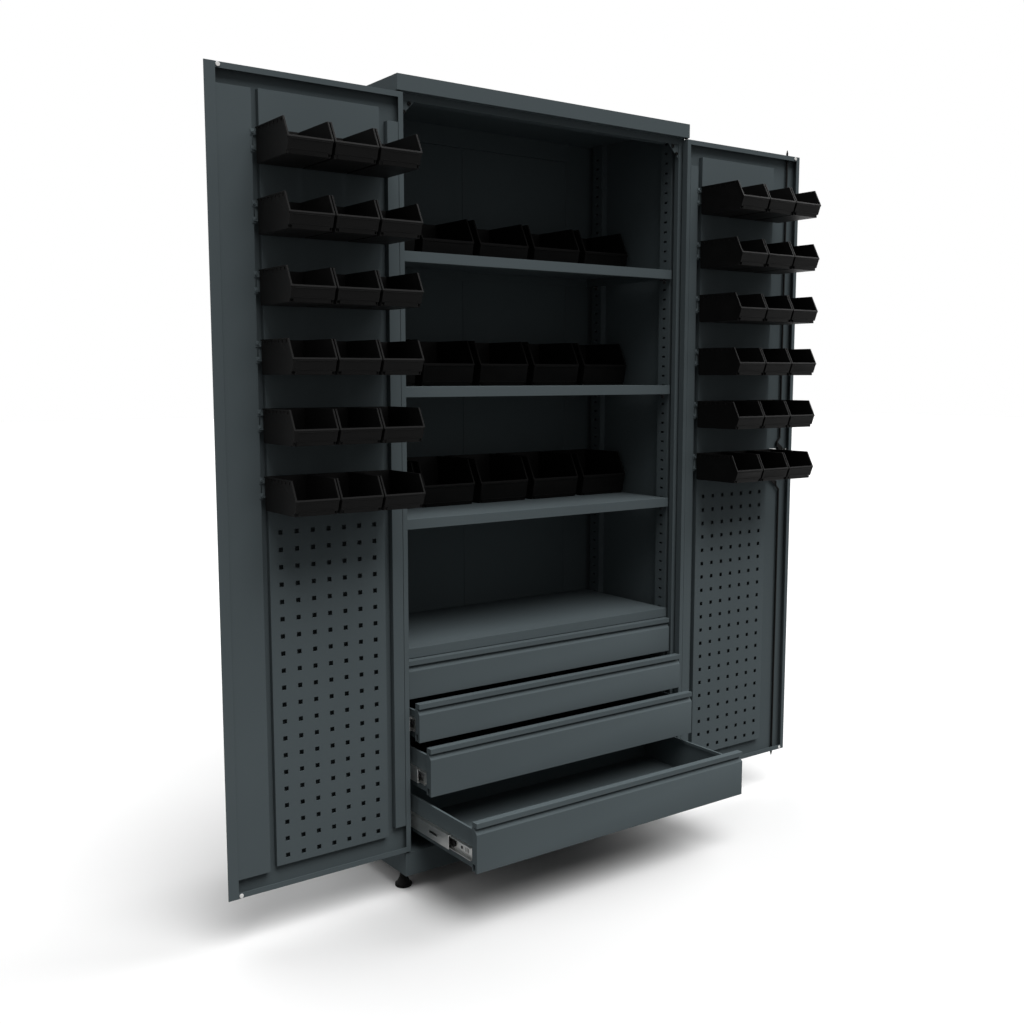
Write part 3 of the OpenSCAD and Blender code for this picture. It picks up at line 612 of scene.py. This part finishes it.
lockLook = {
    "rivet": 0.0032,
    "rivetHead": 0.0014,
    "rivetIn": 0.008,
    "barrel": 0.0085,
    "barrelDepth": 0.0024,
    "barrelHole": 0.0062,
    "barrelDown": 0.020,  # from the handle's top
    # key: a dark sliver on the barrel's face, painted shade that stands in for the shaded hollow of the
    # key slot
    "key": (0.0016, 0.0007, 0.0075),
    "keyCorner": 0.0003,
    "keyOut": 0.0005,
}


def addLockDetails():
    look = lockLook
    low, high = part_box("lock_case")
    rivet = screwHead(look["rivet"], look["rivetHead"])
    copies = []
    for x in (low[0] + look["rivetIn"], high[0] - look["rivetIn"]):
        for z in (low[2] + look["rivetIn"], high[2] - look["rivetIn"]):
            copies.append(copyTo(rivet, (x, low[1], z), facing["front"]))
    gather(copies, (rivet,), "lock_case_rivets", "door_right", "zinc_steel")
    low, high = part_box("lock_handle")
    x = (low[0] + high[0]) / 2
    z = high[2] - look["barrelDown"]
    barrel = ringPlug(look["barrel"], look["barrelDepth"], look["barrelHole"])
    key = block(look["key"], look["keyCorner"])
    copies = [copyTo(barrel, (x, high[1], z), facing["back"])]
    gather(copies, (barrel,), "lock_key_barrel", "lock_turn", "zinc_steel")
    # painted shade: the dark sliver stands in for the shade inside the key slot
    copies = [copyTo(key, (x, high[1] + look["keyOut"], z))]
    gather(copies, (key,), "lock_key_slot_painted_shade", "lock_turn", "black_plastic", darkSteelAndSlotShade)


backRivet = {
    "sides": 16,
    "radius": 0.0034,
    "head": 0.0013,
    "rows": 9,
    "low": 0.170,
    "pitch": 0.2075,
    "cornerSheets": 0.3285,  # how far back each kind of sheet lies
    "middleSheets": 0.3300,
    "cornerColumns": (-0.354, 0.366),
    "middleColumns": (-0.027, 0.013),
}


def addBackRivets():
    look = backRivet
    rivet = screwHead(look["radius"], look["head"], look["sides"])
    copies = []
    for kind in ("corner", "middle"):
        for x in look[kind + "Columns"]:
            for row in range(look["rows"]):
                place = (x, look[kind + "Sheets"], look["low"] + row * look["pitch"])
                copies.append(copyTo(rivet, place, facing["back"]))
    gather(copies, (rivet,), "back_rivets", "cabinet", "painted_steel")


addRailTabs("left")
addRailTabs("right")
for number in (1, 2, 3, 4):
    addSlideFittings(number)
addFootNuts()
addGussetBolts()
addLockDetails()
addBackRivets()
print("fasteners and fittings added")

stageLook = {
    "floorSeen": (0.78, 0.78, 0.78),
    "floorBounce": (0.10, 0.10, 0.10),  # keeps stray light out of the compartments
    "floorSize": 60.0,
    "floorRoughness": 0.95,
    "skyLight": 0.20,
}


def seenShare(nodes):
    camera = nodes.add("ShaderNodeLightPath", {}, {}, "Is Camera Ray")
    glossy = nodes.add("ShaderNodeLightPath", {}, {}, "Is Glossy Ray")
    through = nodes.add("ShaderNodeLightPath", {}, {}, "Is Transmission Ray")
    return nodes.add("ShaderNodeMath", {"operation": "MAXIMUM"}, {0: camera, 1: glossy + through})


def addFloor():
    look = stageLook
    finish = Finish("floorWhite")
    finish.shade(
        colour=finish.between(seenShare(finish), look["floorBounce"], look["floorSeen"]),
        roughness=look["floorRoughness"],
        specular=0.0,
    )
    bpy.ops.mesh.primitive_plane_add(size=look["floorSize"], location=(0, 0, 0))
    floor = bpy.context.object
    floor.name = "floor"
    floor.data.materials.append(finish.material)


def addWorld():
    world = bpy.data.worlds.new("softWorld")
    bpy.context.scene.world = world
    world.use_nodes = True
    sky = Nodes(world.node_tree)
    lit = stageLook["skyLight"]
    strength = seenShare(sky) * (1 - lit) + lit  # white where it is seen, dim where it lights
    background = sky.add("ShaderNodeBackground", {}, {"Color": (1, 1, 1, 1), "Strength": strength})
    sky.add("ShaderNodeOutputWorld", {}, {"Surface": background})


lamps = {  # degrees: turn from +X, height over the floor, width of the lamp
    "front": {"turn": -90, "height": 60, "width": 45, "power": 2.4},
    "right": {"turn": 0, "height": 40, "width": 45, "power": 1.95},
    "back": {"turn": 90, "height": 60, "width": 45, "power": 0.85},
    "left": {"turn": 180, "height": 40, "width": 45, "power": 0.45},
}


def addLamps():
    for name, lamp in lamps.items():
        bpy.ops.object.light_add(type="SUN")
        light = bpy.context.object
        light.name = name + "Lamp"
        light.data.energy = lamp["power"]
        light.data.angle = math.radians(lamp["width"])
        light.rotation_euler = (math.radians(90 - lamp["height"]), 0, math.radians(lamp["turn"] + 90))


addFloor()
addWorld()
addLamps()
bpy.context.scene.view_settings.view_transform = "Standard"
print("stage set")
